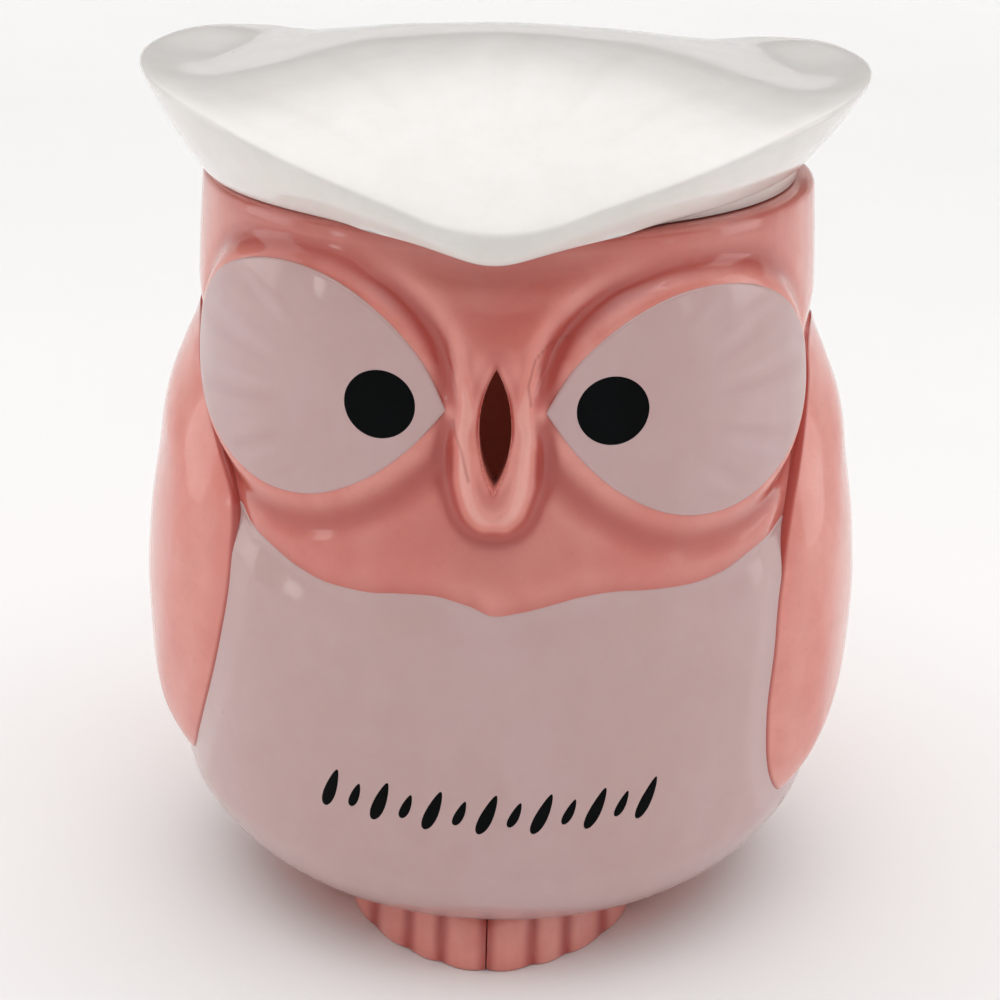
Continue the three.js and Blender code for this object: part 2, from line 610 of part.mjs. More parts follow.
function lidSection(angle) {
  const at = (radius, z) => roundPoint(angle, radius, z, 1);
  const away = awayFromFront(angle);
  const drop = TAB_DROP * Math.exp(-((away / TAB_HALF_ANGLE) ** TAB_SHARPNESS));
  const edge = LID_EDGE + TAB_REACH * Math.exp(-((away / TAB_SPREAD) ** 2));
  const edgeHeight = SEAT - drop + edgeLift(angle);
  const seatEnd = lerp(LID_EDGE - LID_SEAT_INSET, RIM_RADIUS + TAB_CLEARANCE, ease(drop));
  const crestRadius = BELLY_HALF_WIDTH * crestRadiusShare(away);
  const crest = crestHeight(angle);
  const hollow = LID_HOLLOW_RINGS.map((share) => {
    const radius = share * SPIGOT_INNER;
    return at(radius, Math.max(SEAT + LID_HOLLOW_RISE, lidTop(angle, radius / crestRadius) - LID_ROOF));
  });
  const bandHeight = (edgeHeight + LID_EDGE_ROUND + crest) / 2;
  return [
    ...hollow,
    at(SPIGOT_INNER, SEAT - SPIGOT_DEPTH),
    at(SPIGOT_OUTER, SEAT - SPIGOT_DEPTH),
    at(SPIGOT_OUTER, SEAT),
    at(seatEnd, SEAT),
    at(seatEnd + LID_EDGE_ROUND / 2, edgeHeight + LID_EDGE_ROUND / 5),
    at(edge, edgeHeight + LID_EDGE_ROUND),
    at((edge + crestRadius) / 2 + BAND_BULGE, bandHeight),
    at(crestRadius, Math.max(crest - CREST_ROUND, edgeHeight + BAND_LEAST)),
    ...LID_TOP_RINGS.map((share) => at(share * crestRadius, lidTop(angle, share))),
  ];
}

// ---- assembly -----------------------------------------------------------------------------
const belly = bellyField();
let shell = solid(sweepRound(bodySection, columnsDenseInFront(BODY_CROWDING)));
shell = shell.subtract(coinSlot()).subtract(belly.pocket);

// Each foot is luted against the belly; what is left of it under the base is dropped.
const footTrim = bodyBlock(PIECE_GAP).add(belly.pocket);

sides.forEach(({ name, side }, index) => {
  const wing = wingInlay(name, side);
  const eye = eyeInlay(eyeOutlines[index], side);
  const pupil = pupilInlay(side);
  const footParts = footSolid(side).subtract(footTrim).decompose();
  const [foot] = footParts.sort((a, b) => b.volume() - a.volume());
  shell = shell.subtract(wing.pocket).subtract(eye.pocket);
  addPiece(`wing_${name}`, wing.piece, pinkGlaze);
  addPiece(`eye_field_${name}`, eye.piece.subtract(pupil.pocket), lavenderGlaze);
  addPiece(`pupil_${name}`, pupil.piece, blackGlaze);
  addPiece(`foot_${name}`, foot, pinkGlaze);
});
addPiece('belly_field', belly.piece, lavenderGlaze);
addPiece('body_shell', shell, pinkGlaze);

const lid = solid(sweepRound(lidSection, columnsDenseInFront(LID_CROWDING)));
addPiece('lid', lid.translate([-LID_SIDE_SHIFT, 0, 0]), whiteGlaze);

export default owl;
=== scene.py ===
"""The looks of the owl coin bank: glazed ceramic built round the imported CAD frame.

The script works in millimetres and turns them into metres when it makes a mesh. As in the CAD
part, a place on the body is an angle in degrees round from the front, positive to +X, and a
height above the table. `skin` turns it into a point, and `relief` says how far the modelled
surface stands off the plain body there.
"""

import math

import bmesh
import bpy
import numpy as np
from mathutils import Matrix, Vector


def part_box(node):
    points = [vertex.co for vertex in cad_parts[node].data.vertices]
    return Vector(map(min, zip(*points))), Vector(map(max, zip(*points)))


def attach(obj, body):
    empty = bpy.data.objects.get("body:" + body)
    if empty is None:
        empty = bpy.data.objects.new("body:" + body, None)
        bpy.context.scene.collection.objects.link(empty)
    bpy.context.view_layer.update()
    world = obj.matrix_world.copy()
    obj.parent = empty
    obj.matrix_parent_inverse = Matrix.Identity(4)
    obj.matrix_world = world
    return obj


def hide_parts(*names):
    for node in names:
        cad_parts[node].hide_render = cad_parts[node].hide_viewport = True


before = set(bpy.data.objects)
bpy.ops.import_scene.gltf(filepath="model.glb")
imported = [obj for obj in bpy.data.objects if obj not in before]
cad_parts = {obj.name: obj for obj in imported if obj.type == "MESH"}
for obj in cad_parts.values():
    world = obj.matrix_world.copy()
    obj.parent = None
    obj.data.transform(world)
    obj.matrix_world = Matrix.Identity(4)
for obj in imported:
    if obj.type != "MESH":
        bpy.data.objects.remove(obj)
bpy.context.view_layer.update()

MM = 0.001

# ---- sizes of the body ----------------------------------------------------------------------
RIM_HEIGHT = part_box("body_shell")[1].z / MM
HALF_WIDTH = 0.455 * RIM_HEIGHT          # widest half-width of the plain body
FRONT_TO_BACK = 0.95
ROUND_FROM = 0.3
WALL = 5.5
RIM_WIDTH = 7.5
RIM_SHOULDER = 4
NECK_BOTTOM = 0.915 * RIM_HEIGHT
BASE_HALF_WIDTH = 50
FLOOR = 6

PROFILE = [
    (0, 0.56), (0.04, 0.7), (0.08, 0.822), (0.13, 0.905), (0.19, 0.963), (0.26, 0.984),
    (0.34, 0.996), (0.43, 1), (0.53, 0.983), (0.63, 0.946), (0.73, 0.918), (0.82, 0.893),
    (0.91, 0.881), (1, 0.866),
]

# ---- the face: [degrees from the front, height] ---------------------------------------------
EYE_OUTLINE = [
    (7.7, 159.3), (12.5, 171), (19.5, 180.2), (28, 186), (38, 187.6), (48, 185), (57, 178),
    (62.4, 167.6), (62.6, 155.8), (58, 144.8), (49.5, 136.6), (39, 132.2), (29, 133.4),
    (20, 140), (13, 149.2),
]
EYE_CENTRE = (39, 160)
EYE_TILT = 2
PUPIL_CENTRE = (18.3, 159.5)
PUPIL_RADIUS = 8.3
MOUND_PROUD = 3.2
MOUND_BAND = 7
EYE_EDGE = 0.45          # step at an eye field's edge
EYE_DOME = 1.5
PUPIL_STEP = 0.12

# The beak and the brows are one Y-shaped ridge: this is its foot, from the beak's tip upwards.
BEAK_FOOT = [
    (0, 128.2), (3, 129), (5.5, 132), (7.2, 137.4), (8.2, 145), (8.6, 154), (8.7, 163), (9.3, 171),
    (11.2, 177), (14.6, 182), (19, 186.4), (25, 189.6), (32, 191.6), (42, 193), (60, 196),
    (75, 204), (75, 220),
]
BEAK_PROUD = 8
BEAK_RISE = [
    (120, 0.6), (128, 0.7), (137, 0.92), (148, 1), (158, 0.86), (170, 0.6), (180, 0.42), (188, 0.26),
    (196, 0.1), (200, 0), (230, 0),
]
BEAK_FLANK = 7.2         # width of the ridge's outer slope
BEAK_VALLEY = 3.4        # how far the beak falls back from its crests to the slot
VALLEY_HALF = (7.2, 21)
FOREHEAD_VALLEY = 1.6    # how far the forehead falls back between the brows
GROOVE_DEPTH = 0.9
GROOVE_HALF = 3
FACE_TOP = 195.5         # the modelled face has died out below the rim
FACE_GLAZE_AND_SHADE = 0.36        # how much deeper the face's colour is, 0 to 1: partly a thicker glaze, partly painted shade

SLOT_HEIGHT = 28.5
SLOT_WIDTH = 7.5
SLOT_CENTRE = 155.8
SLOT_LIP = 0.6           # width and depth of the softened edge round the slot
SLOT_LIP_DEPTH = 0.35

# Hairline cracks in the glaze beside the beak.
CRACKS = [
    [(-6.4, 157.4), (-6, 154.1), (-4.9, 150.9), (-3.6, 143.9)],
    [(12.1, 176.8), (8.5, 175.6), (6, 172.2), (4.9, 166.3), (5.3, 161.7)],
]

# ---- the belly field and the wings ----------------------------------------------------------
BIB_TOP = [
    (-114, 12), (-110, 30), (-104, 50), (-98, 60), (-90, 62), (-80, 58), (-70, 58), (-62, 74),
    (-54, 106), (-49, 125), (-44.2, 121.2), (-38.3, 117.8), (-32.2, 114.5), (-26.2, 112.6),
    (-20.1, 112.3), (-14.5, 113.2), (-9.6, 113.6), (-3.5, 111.7), (0.5, 109.4), (4.5, 110.4),
    (10.4, 112.6), (14, 113.8), (19, 114.4), (25.5, 113.7), (32.4, 113.3), (38.7, 114.3),
    (44.9, 116.8), (51.2, 119.1), (58.1, 121.5), (62, 100), (66, 66), (72, 52), (80, 56), (90, 62),
    (98, 60), (104, 50), (110, 30), (114, 12),
]
BIB_LOW = 9
BIB_STEP = 0.2
BELLY_SWELL = 1.7
WING_BACK = [(72, 160), (84, 164), (96, 157), (107, 136), (110, 110)]
WING_OUTLINES = {
    "left": WING_BACK + [
        (104, 84), (90, 60), (76, 44), (66, 39), (60, 39.6), (55.2, 46), (52, 55.6), (50.2, 70),
        (50.6, 86), (51.6, 100), (54.5, 114), (58, 124), (63.5, 138), (68, 150),
    ],
    "right": WING_BACK + [
        (105, 84), (93, 60), (80, 45), (71, 40), (66, 43), (60.5, 53), (54.5, 68), (49.5, 86),
        (47.4, 100), (47.2, 114), (48.8, 126), (54, 136), (61, 146), (67, 154),
    ],
}
WING_CENTRE = (80, 100)
WING_THICKNESS = 6.6
WING_EDGE = 1.3
WING_ROUND = 21
WING_TOP = 165           # above this height the wings have sunk into the body
WING_FADE = 34
WING_VALLEY = 1

# ---- the lid --------------------------------------------------------------------------------
CROWN_RISE = 33.5
SEAT = RIM_HEIGHT + 0.3
LID_ROOF = 6
LID_HOLLOW_RISE = 3
SPIGOT_CLEARANCE = 2.2
SPIGOT_DEPTH = 9
SPIGOT_WALL = 5
LID_EDGE_INSET = 1.2
LID_EDGE_LIFT = 4.5
LID_SIDE_SHIFT = 1.4
TAB_DROP = 6.4
TAB_HALF_ANGLE = 10.8
TAB_REACH = 6.3
TAB_SPREAD = 22
V_SOFTNESS = 2.6
EAR_DISH = 2.8
CROWN_FALL = 10          # how much the crown drops away to its sides
STREAK_STRENGTH = 0.5
CREST = [
    (0, 0.945, 0.05), (5, 0.945, 0.085), (14, 0.945, 0.21), (30, 0.948, 0.4), (50, 0.97, 0.62),
    (70, 1.011, 0.77), (90, 1.025, 0.83), (105, 1.005, 0.85), (121, 0.96, 0.79),
    (140, 0.917, 0.6), (160, 0.895, 0.48), (180, 0.89, 0.44),
]


# ---- small helpers --------------------------------------------------------------------------
def ease(t):
    s = np.clip(t, 0, 1)
    return s * s * (3 - 2 * s)


def bell(distance, width):
    return np.exp(-(distance / width) ** 2)


def lerp(a, b, t):
    return a + (b - a) * t


def smooth_table(rows, column=1):
    """A smooth curve through rows of (x, y, ...): a cubic whose slopes never overshoot."""
    x = np.array([row[0] for row in rows], float)
    y = np.array([row[column] for row in rows], float)
    slope = np.diff(y) / np.diff(x)
    before, after = slope[:-1], slope[1:]
    same_way = before * after > 0
    total = np.where(same_way, before + after, 1)
    inner = np.where(same_way, 2 * before * after / total, 0)
    tangent = np.concatenate([slope[:1], inner, slope[-1:]])

    def at(value):
        value = np.clip(value, x[0], x[-1])
        i = np.clip(np.searchsorted(x, value) - 1, 0, len(x) - 2)
        span = x[i + 1] - x[i]
        t = (value - x[i]) / span
        kept = y[i] * (2 * t**3 - 3 * t**2 + 1) + y[i + 1] * (3 * t**2 - 2 * t**3)
        bent = tangent[i] * (t**3 - 2 * t**2 + t) + tangent[i + 1] * (t**3 - t**2)
        return kept + span * bent

    return at


profile_share = smooth_table(PROFILE)


def half_width(z):
    return HALF_WIDTH * profile_share(z / RIM_HEIGHT)


def depth_share(z):
    return lerp(FRONT_TO_BACK, 1, ease((z / RIM_HEIGHT - ROUND_FROM) / (1 - ROUND_FROM)))


FACE_ARC = math.radians(1) * float(half_width(EYE_CENTRE[1]))   # mm per degree on the face
RIM_RADIUS = float(half_width(RIM_HEIGHT))
MOUTH_RADIUS = RIM_RADIUS - RIM_WIDTH


def round_points(angle, radius, z, share=1):
    """Points of round sections: angle in degrees, radius, height, front-to-back share."""
    turn = np.radians(angle)
    parts = np.broadcast_arrays(radius * np.sin(turn), -radius * share * np.cos(turn), z)
    return np.stack(parts, -1)


def skin(angle, z, offset=0):
    """Points standing `offset` off the plain body, square to its side profile."""
    step = 0.05
    slope = (half_width(z + step) - half_width(z - step)) / (2 * step)
    length = np.hypot(1, slope)
    return round_points(angle, half_width(z) + offset / length, z - offset * slope / length, depth_share(z))


# ---- outlines -------------------------------------------------------------------------------
def curve_through(points, count, closed=True):
    """Evenly spaced points on a smooth curve through a few. A curve that isn't closed comes back
    to its first point all the same, with a corner there."""
    p = np.array(points, float)
    p = np.concatenate([p[-1:], p, p[:2]]) if closed else np.concatenate([p[:1], p, p[:1], p[:1]])
    knots = np.sqrt(np.linalg.norm(np.diff(p, axis=0), axis=1)) + 1e-6
    dense = []
    for i in range(1, len(p) - 2):
        h0, h1, h2 = knots[i - 1:i + 2]
        first = (p[i + 1] - p[i]) / h1
        before, after = (p[i] - p[i - 1]) / h0, (p[i + 2] - p[i + 1]) / h2
        start = h1 * (before * h1 + first * h0) / (h0 + h1) if h0 > 1e-3 else p[i + 1] - p[i]
        end = h1 * (first * h2 + after * h1) / (h1 + h2) if h2 > 1e-3 else p[i + 1] - p[i]
        t = np.linspace(0, 1, 40, endpoint=False)[:, None]
        dense.append(
            p[i] * (2 * t**3 - 3 * t**2 + 1) + p[i + 1] * (3 * t**2 - 2 * t**3)
            + start * (t**3 - 2 * t**2 + t) + end * (t**3 - t**2)
        )
    dense = np.concatenate(dense + [p[1:2]])
    along = np.concatenate([[0], np.cumsum(np.linalg.norm(np.diff(dense, axis=0), axis=1))])
    even = np.linspace(0, along[-1], count, endpoint=False)
    return np.stack([np.interp(even, along, dense[:, axis]) for axis in (0, 1)], -1)


def on_face(rows):
    """Rows of [degrees, height] as millimetres across and up the face."""
    return np.array(rows, float) * (FACE_ARC, 1)


def mirrored(points, side):
    return points if side > 0 else (points * (-1, 1))[::-1]


def turned(points, pivot, degrees):
    c, s = math.cos(math.radians(degrees)), math.sin(math.radians(degrees))
    return (points - pivot) @ np.array([[c, s], [-s, c]]) + pivot


def edge_distance(p, a, b):
    """Distance from each of p to the nearest of the edges from a to b."""
    edge = b - a
    t = np.clip(((p - a) * edge).sum(-1) / (edge**2).sum(-1), 0, 1)
    return np.sqrt((((p - a) - t[..., None] * edge) ** 2).sum(-1).min(-1))


def signed_distance(outline, across, z):
    """Distance from places on the face to a closed outline, negative inside it."""
    flat = np.stack([np.ravel(across), np.ravel(z)], -1)
    a, b = outline, np.roll(outline, -1, axis=0)
    edge = b - a
    result = np.empty(len(flat))
    for start in range(0, len(flat), 20000):
        p = flat[start:start + 20000, None, :]
        nearest = edge_distance(p, a, b)
        crosses = (a[:, 1] > p[..., 1]) != (b[:, 1] > p[..., 1])
        rise = np.where(edge[:, 1] == 0, 1, edge[:, 1])
        left = p[..., 0] < a[:, 0] + edge[:, 0] * (p[..., 1] - a[:, 1]) / rise
        inside = (crosses & left).sum(1) % 2 == 1
        result[start:start + 20000] = np.where(inside, -nearest, nearest)
    return result.reshape(np.shape(across))


SIDES = {"left": 1, "right": -1}   # the owl's left is on +X
EYES = {
    name: mirrored(turned(
        curve_through(on_face(EYE_OUTLINE), 240, closed=False), on_face(EYE_OUTLINE)[0], -side * EYE_TILT,
    ), side)
    for name, side in SIDES.items()
}
WINGS = {
    name: mirrored(curve_through(on_face(WING_OUTLINES[name]), 240), side)
    for name, side in SIDES.items()
}
half_foot = on_face(BEAK_FOOT)
BEAK = curve_through(np.concatenate([half_foot[:0:-1] * (-1, 1), half_foot]), 640, closed=False)
bib_top = smooth_table(BIB_TOP)
beak_rise = smooth_table(BEAK_RISE)


def slot_distance(across, z):
    """Distance to the lens-shaped coin slot, negative inside it."""
    radius = (SLOT_HEIGHT**2 + SLOT_WIDTH**2) / (4 * SLOT_WIDTH)
    return np.hypot(np.abs(across) + radius - SLOT_WIDTH / 2, z - SLOT_CENTRE) - radius


# ---- how far the modelled surface stands off the plain body ---------------------------------
def relief(angle, z):
    across = angle * FACE_ARC
    near_face = (np.abs(angle) < 95) & (z > 95)
    height = np.zeros(np.shape(across))

    top = bib_top(angle)
    above = z - top
    front = 1 - ease((np.abs(angle) - 46) / 16)
    chin = 1.3 * ease((above + 2.5) / 7) * (1 - ease((z - 118) / 34)) * front
    pillow = BELLY_SWELL * ease((-above - 1) / 13) * ease((z - 6) / 30)
    height += chin + pillow * (1 - 0.35 * ease((np.abs(angle) - 60) / 40))

    for name in SIDES:
        wing = signed_distance(WINGS[name], across, z)
        height -= WING_VALLEY * ease(1 - np.abs(wing) / 9) * ease((z - 20) / 25)

    a, h = across[near_face], z[near_face]
    eye = np.minimum(signed_distance(EYES["left"], a, h), signed_distance(EYES["right"], a, h))
    on_mound = ease(1 - eye / MOUND_BAND)
    mound = MOUND_PROUD * on_mound - 0.45 * bell(eye - 8.5, 2.6)
    foot = signed_distance(BEAK, a, h)
    rise = beak_rise(h)
    crest = ease(-foot / BEAK_FLANK + 0.1)
    to_slot = np.hypot(a / VALLEY_HALF[0], (h - SLOT_CENTRE) / VALLEY_HALF[1])
    forehead = bell(a, 5 + 0.9 * np.maximum(h - 168, 0)) * ease((h - 168) / 16)
    valley = BEAK_VALLEY * (1 - ease(to_slot)) + FOREHEAD_VALLEY * forehead
    ridge = BEAK_PROUD * crest * rise - valley * ease(-foot / 5)
    groove = GROOVE_DEPTH * bell(foot - 1, GROOVE_HALF) * (0.1 + 0.9 * ease((h - 146) / 24))
    face = np.maximum(mound, 0) * (1 - crest) + np.minimum(mound, 0) + ridge
    face -= groove * (1 - ease((h - 186) / 8))
    lip = np.clip(1 - slot_distance(a, h) / SLOT_LIP, 0, 1)
    face -= SLOT_LIP_DEPTH * lip**2
    height[near_face] = height[near_face] * (1 - on_mound) + face * ease((FACE_TOP - h) / 9)
    return height


# ---- meshes ---------------------------------------------------------------------------------
def make_piece(name, points, faces, body, material, replaces=(), attributes=None):
    mesh = bpy.data.meshes.new(name)
    mesh.from_pydata((np.asarray(points) * MM).tolist(), [], [tuple(map(int, face)) for face in faces])
    mesh.validate()
    for label, values in (attributes or {}).items():
        layer = mesh.attributes.new(label, "FLOAT", "POINT")
        layer.data.foreach_set("value", np.asarray(values, np.float32))
    mesh.polygons.foreach_set("use_smooth", [True] * len(mesh.polygons))
    piece = bpy.data.objects.new(name, mesh)
    bpy.context.scene.collection.objects.link(piece)
    mesh.materials.append(material)
    if body:
        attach(piece, body)
        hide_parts(*replaces)
    return piece


def swept(rings, first, last):
    """A closed body from (columns, rows, 3) points round Z and a point on the axis at each end."""
    columns, rows = rings.shape[:2]
    here = np.arange(columns * rows).reshape(columns, rows)
    after = np.roll(here, -1, axis=0)
    quads = np.stack([here[:, :-1], after[:, :-1], after[:, 1:], here[:, 1:]], -1).reshape(-1, 4)
    start, end = columns * rows, columns * rows + 1
    fans = [(start, b, a) for a, b in zip(here[:, 0], after[:, 0])]
    fans += [(end, a, b) for a, b in zip(here[:, -1], after[:, -1])]
    points = np.concatenate([rings.reshape(-1, 3), [first, last]])
    return points, list(quads) + fans


def rounded(corners, reach, steps=5):
    """Rows of corner points (columns, rows, 2), each inner corner cut back by its reach and bent."""
    rows = [corners[:, :1]]
    for i in range(1, corners.shape[1] - 1):
        before, here, after = corners[:, i - 1], corners[:, i], corners[:, i + 1]
        back, ahead = before - here, after - here
        back_length = np.linalg.norm(back, axis=1, keepdims=True)
        ahead_length = np.linalg.norm(ahead, axis=1, keepdims=True)
        start = here + back * np.minimum(reach[i] / back_length, 0.45)
        end = here + ahead * np.minimum(reach[i] / ahead_length, 0.45)
        for t in np.linspace(0, 1, steps):
            bent = (1 - t) ** 2 * start + 2 * t * (1 - t) * here + t**2 * end
            rows.append(bent[:, None])
    rows.append(corners[:, -1:])
    return np.concatenate(rows, axis=1)


def hollowness(height, angle, z):
    """How much a grid of relief curves inwards: positive in creases, negative on crests."""
    across = angle[:, 0] * FACE_ARC
    bend = np.gradient(np.gradient(height, across, axis=0), across, axis=0)
    bend += np.gradient(np.gradient(height, z[0], axis=1), z[0], axis=1)
    for axis in 9 * (0, 1):
        bend = (np.roll(bend, 1, axis) + 2 * bend + np.roll(bend, -1, axis)) / 4
    return np.clip(bend, -0.6, 0.6) / 0.6


def glaze_depth_and_shade(angle, z):
    """The deeper colour over the face, between the wings and under the rim: partly a thicker glaze, partly
    painted shade, the lid's shadow on the forehead and rim.
    """
    beside = 1 - ease((np.abs(angle) - 50) / 25)
    return FACE_GLAZE_AND_SHADE * beside * ease((z - 100) / 12)


def stepped(stops):
    """Values from rows of (value, step to the next row), without repeating the ends."""
    parts = [np.arange(a, b - step / 2, step) for (a, step), (b, _) in zip(stops, stops[1:])]
    return np.concatenate(parts + [[stops[-1][0]]])


# ---- materials ------------------------------------------------------------------------------
class Nodes:
    """A few words for building a node tree."""

    def __init__(self, name):
        self.material = bpy.data.materials.new(name)
        self.material.use_nodes = True
        self.tree = self.material.node_tree
        self.shader = self.tree.nodes["Principled BSDF"]
        self.place = self.tree.nodes.new("ShaderNodeTexCoord").outputs["Object"]

    def node(self, kind, inputs=None, **settings):
        made = self.tree.nodes.new("ShaderNode" + kind)
        for key, value in settings.items():
            setattr(made, key, value)
        for key, value in (inputs or {}).items():
            self.feed(made.inputs[key], value)
        return made

    def feed(self, socket, value):
        if isinstance(value, bpy.types.NodeSocket):
            self.tree.links.new(value, socket)
        else:
            socket.default_value = value

    def math(self, operation, a, b=0.0, clamp=False):
        return self.node("Math", {0: a, 1: b}, operation=operation, use_clamp=clamp).outputs[0]

    def noise(self, size, detail=3.0, roughness=0.5, stretch=None):
        """Noise whose features are about `size` mm, in 0..1."""
        place = self.place
        if stretch:
            place = self.node("Mapping", {"Vector": place, "Scale": stretch}).outputs[0]
        made = self.node("TexNoise", {
            "Vector": place, "Scale": 1 / (size * MM), "Detail": detail, "Roughness": roughness,
        })
        return made.outputs["Fac"]

    def ramp(self, value, low, high):
        return self.node("MapRange", {
            "Value": value, "From Min": low, "From Max": high,
        }, interpolation_type="SMOOTHSTEP").outputs[0]

    def mix(self, share, a, b):
        made = self.node("Mix", data_type="RGBA")
        self.feed(made.inputs[0], share)
        self.feed(made.inputs[6], a)
        self.feed(made.inputs[7], b)
        return made.outputs[2]

    def attribute(self, name):
        return self.node("Attribute", attribute_name=name).outputs["Fac"]

    def pinholes(self, spacing, radius, kept):
        """Sparse round pits: about one per `spacing` mm, of which a share is kept."""
        made = self.node("TexVoronoi", {"Vector": self.place, "Scale": 1 / (spacing * MM)})
        near = self.ramp(made.outputs["Distance"], radius / spacing, 0.6 * radius / spacing)
        pick = self.node("SeparateColor", {"Color": made.outputs["Color"]}).outputs[0]
        return self.math("MULTIPLY", near, self.math("LESS_THAN", pick, kept))


def rgb(red, green, blue):
    """A linear colour from sRGB values in 0..255."""
    def linear(value):
        v = value / 255
        return v / 12.92 if v <= 0.04045 else ((v + 0.055) / 1.055) ** 2.4
    return (linear(red), linear(green), linear(blue), 1.0)


def glaze(name, colour, deep, pale, mottle=0.34, pits=0.12, pool_and_shade=True, streaks=False, peel=0.03):
    """A glossy glaze: blotchy in thickness, deeper in creases and paler on crests, partly as pooled and thin
    glaze and partly as painted shade and painted highlight, with a faint orange-peel surface and a few pinholes."""
    n = Nodes(name)
    blotch = n.ramp(n.noise(26, 3, 0.55, (1, 1, 0.55)), 0.38, 0.66)
    cloud = n.ramp(n.noise(9, 4, 0.6), 0.35, 0.7)
    fine = n.noise(1.4, 3)
    base = n.mix(n.math("MULTIPLY", blotch, mottle), colour, pale)
    base = n.mix(n.math("MULTIPLY", cloud, 0.4 * mottle), base, deep)
    # Painted shade in creases and painted highlight on crests, partly also glaze that pools and thins there.
    if pool_and_shade:
        bend = n.attribute("pool_and_shade")
        base = n.mix(n.ramp(bend, 0.02, 0.75), base, deep)
        base = n.mix(n.math("MULTIPLY", n.ramp(bend, -0.02, -0.6), 0.5), base, pale)
    if streaks:
        lines = n.attribute("streak")
        base = n.mix(n.math("MULTIPLY", n.ramp(lines, 0.05, 1), 0.28), base, deep)
        base = n.mix(n.math("MULTIPLY", n.ramp(lines, -0.05, -1), 0.35), base, pale)
    base = n.mix(n.math("MULTIPLY", n.ramp(fine, 0.55, 0.8), 0.1), base, deep)
    base = n.mix(n.math("MULTIPLY", n.attribute("crack"), 0.5), base, rgb(158, 72, 60))
    holes = n.pinholes(24, 0.42, pits)
    base = n.mix(n.math("MULTIPLY", holes, 0.85), base, rgb(58, 38, 34))
    n.feed(n.shader.inputs["Base Color"], base)
    rough = n.math("MULTIPLY_ADD", n.noise(7, 2), 0.08)
    rough.node.inputs[2].default_value = 0.1
    n.feed(n.shader.inputs["Roughness"], rough)
    wave = n.math("MULTIPLY", n.noise(11, 2), 0.35)
    skin_height = n.math("ADD", wave, n.math("MULTIPLY", n.noise(2.2, 2), peel))
    skin_height = n.math("SUBTRACT", skin_height, n.math("MULTIPLY", holes, 0.3))
    bump = n.node("Bump", {"Height": skin_height, "Strength": 0.5, "Distance": 0.3 * MM})
    n.feed(n.shader.inputs["Normal"], bump.outputs[0])
    n.shader.inputs["IOR"].default_value = 1.45
    n.shader.inputs["Coat Weight"].default_value = 0.25
    n.shader.inputs["Coat Roughness"].default_value = 0.04
    n.shader.inputs["Subsurface Weight"].default_value = 0.12
    n.shader.inputs["Subsurface Radius"].default_value = (1.0, 0.5, 0.4)
    n.shader.inputs["Subsurface Scale"].default_value = 1.2 * MM
    return n.material


PINK = glaze("pink_glaze", rgb(228, 141, 129), rgb(184, 84, 76), rgb(243, 182, 171))
LAVENDER = glaze(
    "lavender_glaze", rgb(200, 167, 164), rgb(188, 151, 151), rgb(208, 178, 182), streaks=True, pool_and_shade=False)
WHITE = glaze(
    "white_glaze", rgb(237, 233, 229), rgb(212, 205, 198), rgb(244, 241, 238), 0.3, 0.2, streaks=True,
    pool_and_shade=False)
BLACK = glaze("black_glaze", rgb(6, 7, 8), rgb(3, 4, 4), rgb(12, 14, 16), 0.5, 0.05, pool_and_shade=False)
black_shader = BLACK.node_tree.nodes["Principled BSDF"]
black_shader.inputs["Coat Weight"].default_value = 0
black_shader.inputs["Specular IOR Level"].default_value = 0.05
black_shader.inputs["Subsurface Weight"].default_value = 0


# ---- the body -------------------------------------------------------------------------------
BODY_ANGLES = stepped([(0, 0.2), (8, 0.4), (30, 0.6), (75, 1), (180, 0)])
BODY_ANGLES = np.concatenate([-BODY_ANGLES[:0:-1], BODY_ANGLES[:-1]])
BODY_HEIGHTS = stepped([(2.5, 1), (12, 2), (104, 1), (124, 0.7), (140, 0.45), (172, 0.9), (195, 0)])


def crazing(angle, z):
    """How near each place is to one of the hairline cracks, 1 on the line."""
    near = (np.abs(angle) < 20) & (z > 135) & (z < 185)
    flat = np.stack([angle[near] * FACE_ARC, z[near]], -1)[:, None]
    lines = [on_face(rows) for rows in CRACKS]
    nearest = np.min([edge_distance(flat, line[:-1], line[1:]) for line in lines], axis=0)
    result = np.zeros(np.shape(z))
    result[near] = bell(nearest, 0.3)
    return result


